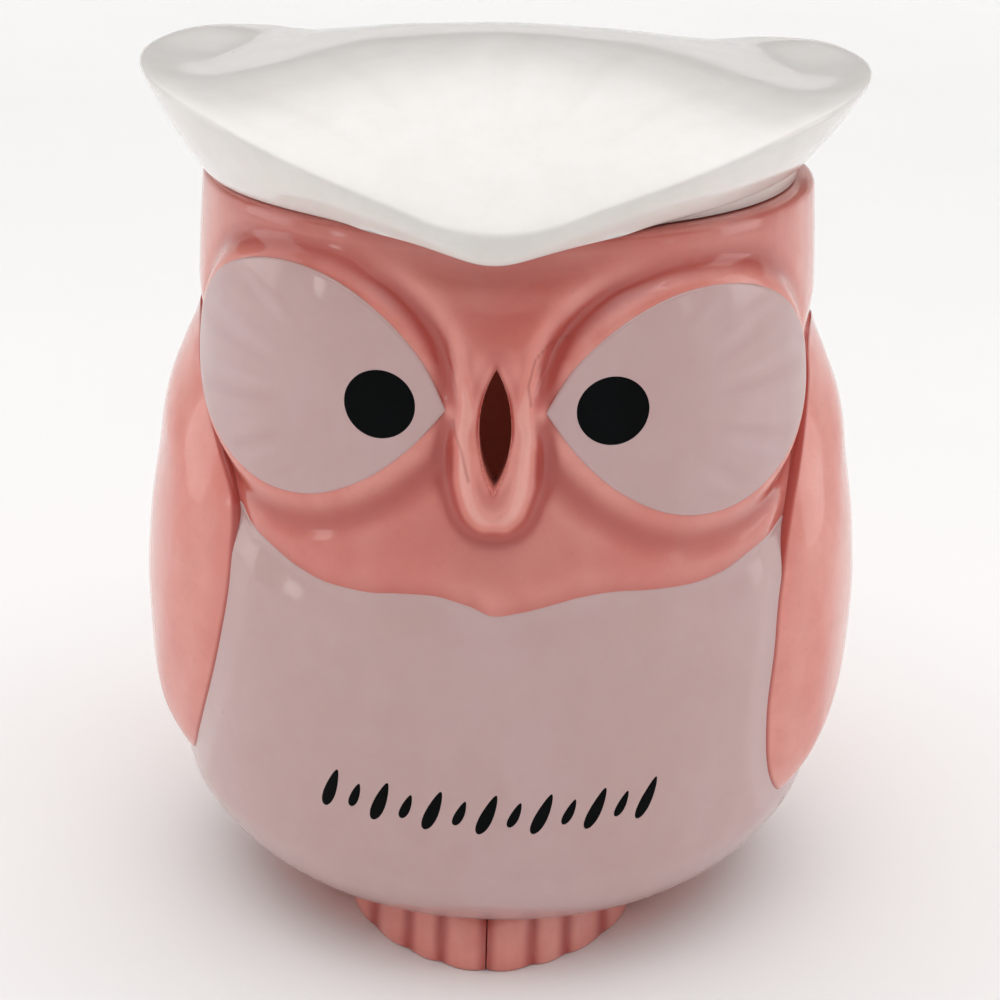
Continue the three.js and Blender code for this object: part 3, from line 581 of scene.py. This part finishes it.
def build_body():
    angle, z = np.meshgrid(BODY_ANGLES, BODY_HEIGHTS, indexing="ij")
    height = relief(angle, z)
    wall = skin(angle, z, height)
    columns = BODY_ANGLES[:, None]

    def level(corners, reach, share=1):
        rows = np.broadcast_to(np.array(corners, float), (len(BODY_ANGLES), len(corners), 2))
        bent = rounded(rows, reach)
        return round_points(columns, bent[..., 0], bent[..., 1], share)

    base = level([(0.8 * BASE_HALF_WIDTH, 0), (BASE_HALF_WIDTH, 0), (BASE_HALF_WIDTH + 3.5, 2)], [0, 1.6, 0],
                 FRONT_TO_BACK)
    shoulder = RIM_HEIGHT - RIM_SHOULDER - 0.5
    rim = level([
        (float(half_width(shoulder)), shoulder), (RIM_RADIUS, RIM_HEIGHT),
        (MOUTH_RADIUS, RIM_HEIGHT), (MOUTH_RADIUS, NECK_BOTTOM),
    ], [0, RIM_SHOULDER, 1.6, 0])
    inner_z = np.linspace(0.97, 0.055, 26) * NECK_BOTTOM
    inner_angle, inner_height = np.meshgrid(BODY_ANGLES, inner_z, indexing="ij")
    inside = skin(inner_angle, inner_height, -WALL)
    floor = level([(BASE_HALF_WIDTH - 2, FLOOR + 1.5), (BASE_HALF_WIDTH - 8, FLOOR),
                   (BASE_HALF_WIDTH - 30, FLOOR)], [0, 3, 0], FRONT_TO_BACK)
    rings = np.concatenate([base, wall, rim, inside, floor], axis=1)
    # Colour mask: partly glaze pooling in creases and thinning on crests, partly painted shade in creases, over
    # the face and under the lid, and painted highlight on crests.
    pool_and_shade = np.zeros(rings.shape[:2])
    start = base.shape[1]
    pool_and_shade[:, start:start + wall.shape[1]] = hollowness(height, angle, z) + glaze_depth_and_shade(angle, z)
    pool_and_shade[:, start + wall.shape[1]:start + wall.shape[1] + rim.shape[1]] = glaze_depth_and_shade(columns, RIM_HEIGHT)
    crack = np.zeros(rings.shape[:2])
    crack[:, start:start + wall.shape[1]] = crazing(angle, z)
    points, faces = swept(rings, (0, 0, 0), (0, 0, FLOOR))
    body = make_piece("body_casting", points, faces, "body", PINK, ["body_shell"], {
        "pool_and_shade": np.concatenate([pool_and_shade.ravel(), [0, 0]]),
        "crack": np.concatenate([crack.ravel(), [0, 0]]),
    })
    cut(body, slot_cutter())
    return body


def cut(piece, cutter):
    """Subtracts a closed mesh from a piece for good."""
    modifier = piece.modifiers.new("cut", "BOOLEAN")
    modifier.operation = "DIFFERENCE"
    modifier.solver = "EXACT"
    modifier.object = cutter
    bpy.context.view_layer.update()
    shaped = bpy.data.meshes.new_from_object(piece.evaluated_get(bpy.context.evaluated_depsgraph_get()))
    piece.modifiers.clear()
    piece.data = shaped
    bpy.data.objects.remove(cutter)


def slot_cutter():
    """A lens-shaped prism through the front wall."""
    radius = (SLOT_HEIGHT**2 + SLOT_WIDTH**2) / (4 * SLOT_WIDTH)
    half = math.asin(SLOT_HEIGHT / 2 / radius)
    turn = np.linspace(-half, half, 40)
    right = np.stack([radius * np.cos(turn) - radius + SLOT_WIDTH / 2, radius * np.sin(turn)], -1)
    lens = np.concatenate([right, -right[1:-1]])
    count = len(lens)
    far, near = -HALF_WIDTH - 15, -HALF_WIDTH + 25
    points = [(x, y, SLOT_CENTRE + z) for y in (far, near) for x, z in lens]
    faces = [list(range(count)), list(range(2 * count - 1, count - 1, -1))]
    faces += [((i + 1) % count, i, count + i, count + (i + 1) % count) for i in range(count)]
    return make_piece("slot_cutter", points, faces, None, PINK)


# ---- pieces laid on the body ----------------------------------------------------------------
def patch(outline, centre, face, floor, rings=18, edge_width=2.4):
    """A closed cap inside an outline on the body. face(distance from the edge, angle, z) and floor
    are offsets from the plain body. Rings crowd together near the edge."""
    middle = np.array(centre) * (FACE_ARC, 1)
    spoke = outline - middle
    length = np.linalg.norm(spoke, axis=1)[:, None]
    inner = np.linspace(0, 1, rings + 1)[1:] * (1 - edge_width / length)
    edge = 1 - edge_width * (1 - np.linspace(0, 1, 11)[1:]) ** 1.6 / length
    shares = np.concatenate([inner, edge], axis=1).T[..., None]
    flat = np.concatenate([middle[None], (middle + shares * spoke).reshape(-1, 2)])
    inwards = -signed_distance(outline, flat[:, 0], flat[:, 1])
    angle, z = flat[:, 0] / FACE_ARC, flat[:, 1]
    top = skin(angle, z, face(np.maximum(inwards, 0), angle, z))
    count, last = len(outline), len(flat) - len(outline)
    below = floor(angle, z) if callable(floor) else np.full(len(flat), float(floor))
    under = skin(angle[last:], z[last:], below[last:])
    hub = skin(angle[:1], z[:1], below[:1])
    points = np.concatenate([top, under, hub])
    here = np.arange(1, len(flat)).reshape(-1, count)
    after = np.roll(here, -1, axis=1)
    faces = [(0, b, a) for a, b in zip(here[0], after[0])]
    faces += list(np.stack([here[:-1], after[:-1], after[1:], here[1:]], -1).reshape(-1, 4))
    foot = np.arange(len(flat), len(flat) + count)
    foot_after = np.roll(foot, -1)
    faces += [(a, b, d, c) for a, b, c, d in zip(here[-1], after[-1], foot, foot_after)]
    faces += [(len(flat) + count, c, d) for c, d in zip(foot, foot_after)]
    return points, faces, flat, inwards


def facing_out(piece):
    """Turns all faces outwards."""
    shape = bmesh.new()
    shape.from_mesh(piece.data)
    bmesh.ops.recalc_face_normals(shape, faces=shape.faces)
    shape.to_mesh(piece.data)
    shape.free()


def eye_ribs(inwards, angle, z):
    """Faint feather ribs that fan out from the pupil over an eye field's outer half, -1 to 1."""
    along = (np.abs(angle) - PUPIL_CENTRE[0]) * FACE_ARC
    up = z - PUPIL_CENTRE[1]
    turn = np.arctan2(up, along)
    far = ease((np.hypot(along, up) - 20) / 16) * (along > 0)
    wave = np.sin(23 * turn + 1.3 * np.sign(angle)) + 0.5 * np.sin(41 * turn + 0.6)
    return wave / 1.5 * far * ease(inwards / 6)


def eye_face(inwards, angle, z):
    """An eye field's offset: a low dome with a rounded edge and faint ribs."""
    ribs = 0.05 * eye_ribs(inwards, angle, z)
    dome = EYE_DOME * (1 - (1 - np.clip(inwards / 27, 0, 1)) ** 2)
    edge = EYE_EDGE * np.sqrt(1 - (1 - np.clip(inwards / 0.7, 0, 1)) ** 2)
    return MOUND_PROUD - 0.12 + edge + dome + ribs


def build_eyes():
    for name, side in SIDES.items():
        points, faces, flat, inwards = patch(EYES[name], (side * EYE_CENTRE[0], EYE_CENTRE[1]), eye_face, 1.4, 26)
        streak = np.zeros(len(points))
        streak[:len(flat)] = eye_ribs(inwards, flat[:, 0] / FACE_ARC, flat[:, 1])
        eye = make_piece(f"eye_{name}", points, faces, "body", LAVENDER, [f"eye_field_{name}"],
                         {"streak": streak})
        facing_out(eye)
        turn = np.linspace(0, 2 * np.pi, 96, endpoint=False)
        centre = np.array([side * PUPIL_CENTRE[0] * FACE_ARC, PUPIL_CENTRE[1]])
        ring = centre + PUPIL_RADIUS * np.stack([np.sin(turn), np.cos(turn)], -1)

        def pupil_face(edge_distance, angle, z):
            under = -signed_distance(EYES[name], angle * FACE_ARC, z)
            step = PUPIL_STEP * np.sqrt(1 - (1 - np.clip(edge_distance / 0.5, 0, 1)) ** 2)
            return eye_face(under, angle, z) - 0.03 + step

        points, faces, _, _ = patch(ring, (side * PUPIL_CENTRE[0], PUPIL_CENTRE[1]), pupil_face, 3.6, 8, 1)
        pupil = make_piece(f"pupil_disc_{name}", points, faces, "body", BLACK, [f"pupil_{name}"])
        facing_out(pupil)


def wing_face(inwards, angle, z):
    edge = WING_EDGE * np.sqrt(1 - (1 - np.clip(inwards / 0.9, 0, 1)) ** 2) * ease((WING_TOP - z) / 12)
    swell = np.sin(np.pi / 2 * np.clip(inwards / WING_ROUND, 0, 1))
    fullness = lerp(0.2, 1, ease((WING_TOP - z) / WING_FADE))
    return edge - 0.5 + (WING_THICKNESS + 0.5 - WING_EDGE) * swell * fullness


def build_wings():
    for name, side in SIDES.items():
        points, faces, flat, inwards = patch(
            WINGS[name], (side * WING_CENTRE[0], WING_CENTRE[1]), wing_face, -1.5, 30, 6)
        pool_and_shade = np.zeros(len(points))
        # Painted shade, partly pooled glaze: darker along the wing's edge where it meets the body, a little paler
        # on the swell inside it.
        pool_and_shade[:len(inwards)] = 0.8 * (1 - ease(inwards / 2.2)) - 0.3 * bell(inwards - 8, 5)
        wing = make_piece(f"wing_lobe_{name}", points, faces, "body", PINK, [f"wing_{name}"],
                          {"pool_and_shade": pool_and_shade})
        facing_out(wing)


def build_belly():
    """The lavender belly: columns between its lower and upper edge, a thin layer over the body."""
    angles = stepped([(BIB_TOP[0][0], 1), (-62, 0.5), (62, 1), (BIB_TOP[-1][0], 0)])
    shares = np.concatenate([np.linspace(0, 0.1, 5), np.linspace(0.1, 0.9, 70)[1:], np.linspace(0.9, 1, 28)[1:]])
    top = bib_top(angles)[:, None]
    z = lerp(BIB_LOW, top, shares)
    angle = np.broadcast_to(angles[:, None], z.shape)
    slope = np.gradient(top[:, 0], angles * FACE_ARC)[:, None]
    inwards = (top - z) / np.hypot(1, slope)
    sideways = (BIB_TOP[-1][0] - np.abs(angle)) * FACE_ARC
    inwards = np.minimum(np.minimum(inwards, sideways), z - BIB_LOW)
    layer = BIB_STEP * np.sqrt(1 - (1 - np.clip(inwards / 0.6, 0, 1)) ** 2) - 0.04
    upper = skin(angle, z, relief(angle, z) + layer)
    lower = skin(angle, z, np.full(z.shape, -2.0))
    columns, rows = z.shape
    here = np.arange(columns * rows).reshape(columns, rows)
    below = here + columns * rows
    loop = [(here[:-1, :-1], here[1:, :-1], here[1:, 1:], here[:-1, 1:]),
            (below[:-1, :-1], below[:-1, 1:], below[1:, 1:], below[1:, :-1])]
    faces = [quad for parts in loop for quad in np.stack(parts, -1).reshape(-1, 4)]
    for row in (0, -1):
        faces += list(np.stack([here[:-1, row], below[:-1, row], below[1:, row], here[1:, row]], -1))
        faces += list(np.stack([here[row, :-1], below[row, :-1], below[row, 1:], here[row, 1:]], -1))
    points = np.concatenate([upper.reshape(-1, 3), lower.reshape(-1, 3)])
    belly = make_piece("belly_glaze", points, faces, "body", LAVENDER, ["belly_field"])
    facing_out(belly)


# ---- the motif on the belly -------------------------------------------------------------------
TICK_COUNT = 13
TICK_SPAN = 25.5         # degrees from the middle to the last tick
TICK_LINE = 56
TICK_SAG = 0.0024        # the row rises by this much times the square of the angle
TICK_LEAN = 0.32
TICK_PROUD = 0.14


def build_ticks():
    """A row of small feather strokes along an arc, long and short by turns."""
    points, faces = [], []
    for i, angle in enumerate(np.linspace(-TICK_SPAN, TICK_SPAN, TICK_COUNT)):
        half_length = 5.8 if i % 2 == 0 else 3.6
        half_breadth = 1.5 if i % 2 == 0 else 1.1
        t = np.linspace(0, 2 * np.pi, 40, endpoint=False)
        along, across = half_length * np.cos(t), half_breadth * np.sin(t) * (1 - 0.35 * np.cos(t))
        centre = (angle, TICK_LINE + TICK_SAG * angle**2)
        stroke = np.stack([across + TICK_LEAN * along, along], -1) + np.array(centre) * (FACE_ARC, 1)

        def face(inwards, angle, z):
            return relief(angle, z) + BIB_STEP - 0.04 + TICK_PROUD * np.sqrt(np.clip(inwards / 0.35, 0, 1))

        def under(angle, z):
            return relief(angle, z) - 0.4

        more_points, more_faces, _, _ = patch(stroke, centre, face, under, 6, 0.5)
        start = sum(len(part) for part in points)
        points.append(more_points)
        faces += [tuple(start + corner for corner in face_corners) for face_corners in more_faces]
    ticks = make_piece("belly_ticks", np.concatenate(points), faces, "body", BLACK)
    facing_out(ticks)


# ---- feet -----------------------------------------------------------------------------------
FEET_HALF_WIDTH = 39
FEET_REACH = 74
FEET_TOP = 14
TOE_EDGES = [0, 12, 21, 31]      # grooves between the toes, from the middle outwards


def feet_front(x):
    fullness = np.clip(1 - (x / FEET_HALF_WIDTH) ** 1.75, 0, 1) ** (1 / 1.75)
    return lerp(34, FEET_REACH, fullness)


def build_feet():
    x = np.linspace(0.15, FEET_HALF_WIDTH - 1, 150)
    nearest = np.min([np.abs(x - edge) for edge in TOE_EDGES], axis=0)
    width = np.interp(x, TOE_EDGES, [6, 5, 5, 5])
    lobe = np.sin(np.pi / 2 * np.clip(nearest / width, 0, 1))
    front = feet_front(x) - 1.1 * (1 - lobe)
    top = FEET_TOP - 1.2 * (1 - lobe) - 4 * ease((x - 20) / 18)

    def pair(y, z):
        return np.stack(np.broadcast_arrays(y + 0 * x, z + 0 * x), -1)

    buried = []
    for share in np.linspace(1, 0, 8):
        z = share * (top + 1)
        radius = half_width(z) - 1.5
        buried.append(pair(-FRONT_TO_BACK * np.sqrt(radius**2 - x**2), z))
    corners = np.stack([
        buried[-1], pair(-front + 0.5, 0), pair(-front, 0.3 * top), pair(-front + 3.2, top), buried[0],
    ], axis=1)
    section = np.concatenate([rounded(corners, [0, 1, 4, 6, 0], 8), np.stack(buried[1:-1], 1)], axis=1)
    for name, side in SIDES.items():
        across = np.broadcast_to(side * x[:, None], section.shape[:2])
        rings = np.concatenate([across[..., None], section], -1)
        columns, rows = rings.shape[:2]
        here = np.arange(columns * rows).reshape(columns, rows)
        wrap = np.roll(here, -1, axis=1)
        faces = list(np.stack([here[:-1], here[1:], wrap[1:], wrap[:-1]], -1).reshape(-1, 4))
        faces += [list(here[0]), list(here[-1])]
        # The feet's colour mask is painted shade, partly pooled glaze: darker in the grooves between the toes.
        foot = make_piece(f"toes_{name}", rings.reshape(-1, 3), faces, "body", PINK,
                          [f"foot_{name}"], {"pool_and_shade": np.repeat(0.9 * (1 - lobe) - 0.1, rows)})
        facing_out(foot)


# ---- the lid --------------------------------------------------------------------------------
crest_radius_share = smooth_table(CREST, 1)
crest_rise_share = smooth_table(CREST, 2)
LID_EDGE = RIM_RADIUS - LID_EDGE_INSET
SPIGOT_OUTER = MOUTH_RADIUS - SPIGOT_CLEARANCE
SPIGOT_INNER = SPIGOT_OUTER - SPIGOT_WALL


def softened(away):
    """Degrees from the front, rounded off at 0 so that the V of the brow has a soft point."""
    return np.hypot(away, V_SOFTNESS) - V_SOFTNESS


def lid_streaks(angle, share):
    """Faint feather streaks that fan out over the crown from the V, -1 to 1."""
    turn = np.radians(angle)
    across, back = share * np.sin(turn), 0.95 - share * np.cos(turn)
    fan = np.arctan2(across, back + 0.15)
    reach = np.hypot(across, back)
    wave = np.sin(21 * fan) + 0.5 * np.sin(37 * fan + 1)
    return wave / 1.5 * ease((reach - 0.2) / 0.3) * (1 - ease((reach - 0.75) / 0.4)) * ease((1 - share) / 0.1)


def lid_top(angle, share):
    """Height of the lid's top: a broad dome with a hollow inside each ear."""
    away = np.abs(angle)
    crest = RIM_HEIGHT + CROWN_RISE * crest_rise_share(softened(away))
    ear = bell(away - 92, 32)
    dish = EAR_DISH * ear * ease((share - 0.34) / 0.48) * ease((1 - share) / 0.22)
    sideways = (share * np.sin(np.radians(angle))) ** 2
    fall = CROWN_FALL * sideways * (1 - share**2)
    return lerp(RIM_HEIGHT + CROWN_RISE, crest, share**2) - dish - fall


def edge_lift(angle):
    turn = angle - 10
    return LID_EDGE_LIFT * ease(turn / 60) * (1 - ease((turn - 90) / 60))


def build_lid():
    angles = np.arange(-180, 180, 0.75)
    away = np.abs(angles)
    drop = TAB_DROP * np.exp(-((softened(away) / TAB_HALF_ANGLE) ** 1.3))
    edge = LID_EDGE + TAB_REACH * bell(away, TAB_SPREAD)
    edge_height = SEAT - 0.7 - drop + edge_lift(angles)
    seat_end = lerp(LID_EDGE - 2, RIM_RADIUS + 1.2, ease(drop))
    crest_radius = HALF_WIDTH * crest_radius_share(away)
    crest = RIM_HEIGHT + CROWN_RISE * crest_rise_share(softened(away))

    def pair(radius, z):
        return np.stack(np.broadcast_arrays(radius + 0 * angles, z + 0 * angles), -1)

    hollow = []
    for share in np.linspace(0.05, 0.97, 14):
        radius = share * SPIGOT_INNER
        roof = np.maximum(SEAT + LID_HOLLOW_RISE, lid_top(angles, radius / crest_radius) - LID_ROOF)
        hollow.append(pair(radius, roof))
    top_shares = np.concatenate([[0.955, 0.935, 0.91], np.linspace(0.885, 0.02, 60)])
    crown = [pair(share * crest_radius, lid_top(angles, share)) for share in top_shares]
    belly = (edge_height + crest) / 2
    corners = np.stack([
        hollow[-1], pair(SPIGOT_INNER, SEAT + LID_HOLLOW_RISE), pair(SPIGOT_INNER, SEAT - SPIGOT_DEPTH),
        pair(SPIGOT_OUTER, SEAT - SPIGOT_DEPTH), pair(SPIGOT_OUTER, SEAT), pair(seat_end, SEAT),
        pair(seat_end + 0.8, edge_height + 0.2), pair(edge, edge_height + 0.9),
        pair((edge + crest_radius) / 2 + 0.9, belly), pair(crest_radius, crest - 0.3), crown[0],
    ], axis=1)
    bent = rounded(corners, [0, 1.5, 1.5, 1.5, 0.6, 0.3, 0.6, 2.2, 8, 2.5, 0], 7)
    section = np.concatenate([np.stack(hollow[:-1], 1), bent, np.stack(crown[1:], 1)], axis=1)
    rings = round_points(angles[:, None], section[..., 0], section[..., 1])
    apex = RIM_HEIGHT + CROWN_RISE
    points, faces = swept(rings, (0, 0, apex - LID_ROOF), (0, 0, apex))
    points = points - (LID_SIDE_SHIFT, 0, 0)
    streak = np.zeros(rings.shape[:2])
    streak[:, -len(top_shares):] = STREAK_STRENGTH * lid_streaks(angles[:, None], top_shares[None])
    lid = make_piece("lid_casting", points, faces, "lid", WHITE, ["lid"],
                     {"streak": np.concatenate([streak.ravel(), [0, 0]])})
    facing_out(lid)
    return lid


# ---- assembly -------------------------------------------------------------------------------
build_body()
build_belly()
build_eyes()
build_wings()
build_ticks()
build_feet()
build_lid()


# ---- floor, light and camera ----------------------------------------------------------------
def build_stage():
    """A pale round floor that curves up into a low wall."""
    n = Nodes("pale_floor")
    tint = n.mix(n.noise(300, 2), rgb(246, 245, 244), rgb(241, 240, 239))
    n.feed(n.shader.inputs["Base Color"], tint)
    n.shader.inputs["Roughness"].default_value = 0.7
    run, bend, wall = 2300.0, 400.0, 800.0
    turn = np.linspace(0, math.pi / 2, 14)
    radius = np.concatenate([[200.0, 800.0, run], run + bend * np.sin(turn[1:]), [run + bend]])
    height = np.concatenate([[0.0, 0.0, 0.0], bend - bend * np.cos(turn[1:]), [wall]])
    around = np.arange(0, 360, 5.0)
    rings = round_points(around[:, None], radius[None], height[None])
    columns, rows = rings.shape[:2]
    here = np.arange(columns * rows).reshape(columns, rows)
    after = np.roll(here, -1, axis=0)
    faces = list(np.stack([here[:, :-1], after[:, :-1], after[:, 1:], here[:, 1:]], -1).reshape(-1, 4))
    faces.append(list(here[::-1, 0]))
    floor = make_piece("floor", rings.reshape(-1, 3), faces, None, n.material)


def area_light(name, place, target, size, power, colour=(1, 1, 1)):
    data = bpy.data.lights.new(name, "AREA")
    data.shape = "RECTANGLE"
    data.size, data.size_y = size
    data.energy = power
    data.color = colour
    light = bpy.data.objects.new(name, data)
    light.location = place
    light.rotation_euler = (Vector(target) - Vector(place)).to_track_quat("-Z", "Y").to_euler()
    bpy.context.scene.collection.objects.link(light)


def build_lights():
    middle = (0, 0, 0.12)
    area_light("tube", (0, -0.45, 1.25), middle, (1.4, 0.05), 0.6)
    area_light("side_left", (-1.25, 0.05, 0.5), middle, (0.6, 0.9), 1.9)
    area_light("side_right", (1.25, 0.05, 0.5), middle, (0.5, 0.9), 1.9)
    area_light("spark_left", (-1.05, -0.62, 0.18), middle, (0.1, 0.1), 0.09)
    area_light("spark_right", (1.05, -0.62, 0.18), middle, (0.08, 0.1), 0.03)
    glow = bpy.data.lights.new("glow", "POINT")
    glow.energy = 0.009
    glow.color = (1, 0.75, 0.6)
    glow.shadow_soft_size = 0.02
    inner = bpy.data.objects.new("glow", glow)
    inner.location = (0, 0.01, 0.14)
    inner.visible_glossy = False
    bpy.context.scene.collection.objects.link(inner)
    world = bpy.data.worlds.new("studio")
    world.use_nodes = True
    tree = world.node_tree
    background = tree.nodes["Background"]
    place = tree.nodes.new("ShaderNodeTexCoord")
    split = tree.nodes.new("ShaderNodeSeparateXYZ")
    tree.links.new(place.outputs["Generated"], split.inputs[0])
    sky = tree.nodes.new("ShaderNodeMapRange")
    sky.interpolation_type = "SMOOTHSTEP"
    sky.inputs["From Min"].default_value = 0.48
    sky.inputs["To Min"].default_value = 0.05
    sky.inputs["To Max"].default_value = 2.1
    tree.links.new(split.outputs["Z"], sky.inputs["Value"])
    tree.links.new(sky.outputs[0], background.inputs["Strength"])
    background.inputs["Color"].default_value = (1, 1, 1, 1)
    bpy.context.scene.world = world
    bpy.context.scene.view_settings.view_transform = "Standard"


def build_camera():
    """A camera in front of the owl and above it, looking down at it, turned a little clockwise."""
    pitch, roll, azimuth = math.radians(21.74), math.radians(1.2), math.radians(1.3)
    distance, height, aside = 0.5163, 0.31068, -0.0005
    data = bpy.data.cameras.new("camera")
    data.lens, data.sensor_width = 72, 36
    data.clip_start, data.clip_end = 0.01, 20
    camera = bpy.data.objects.new("camera", data)
    forward = Vector((
        -math.sin(azimuth) * math.cos(pitch), math.cos(azimuth) * math.cos(pitch), -math.sin(pitch),
    ))
    level = Vector((math.cos(azimuth), math.sin(azimuth), 0))
    upright = level.cross(forward)
    right = level * math.cos(roll) + upright * math.sin(roll)
    up = upright * math.cos(roll) - level * math.sin(roll)
    turn = Matrix((right, up, -forward)).transposed()
    place = Vector((distance * math.sin(azimuth) + aside, -distance * math.cos(azimuth), height))
    camera.matrix_world = Matrix.Translation(place) @ turn.to_4x4()
    bpy.context.scene.collection.objects.link(camera)
    bpy.context.scene.camera = camera


build_stage()
build_lights()
build_camera()
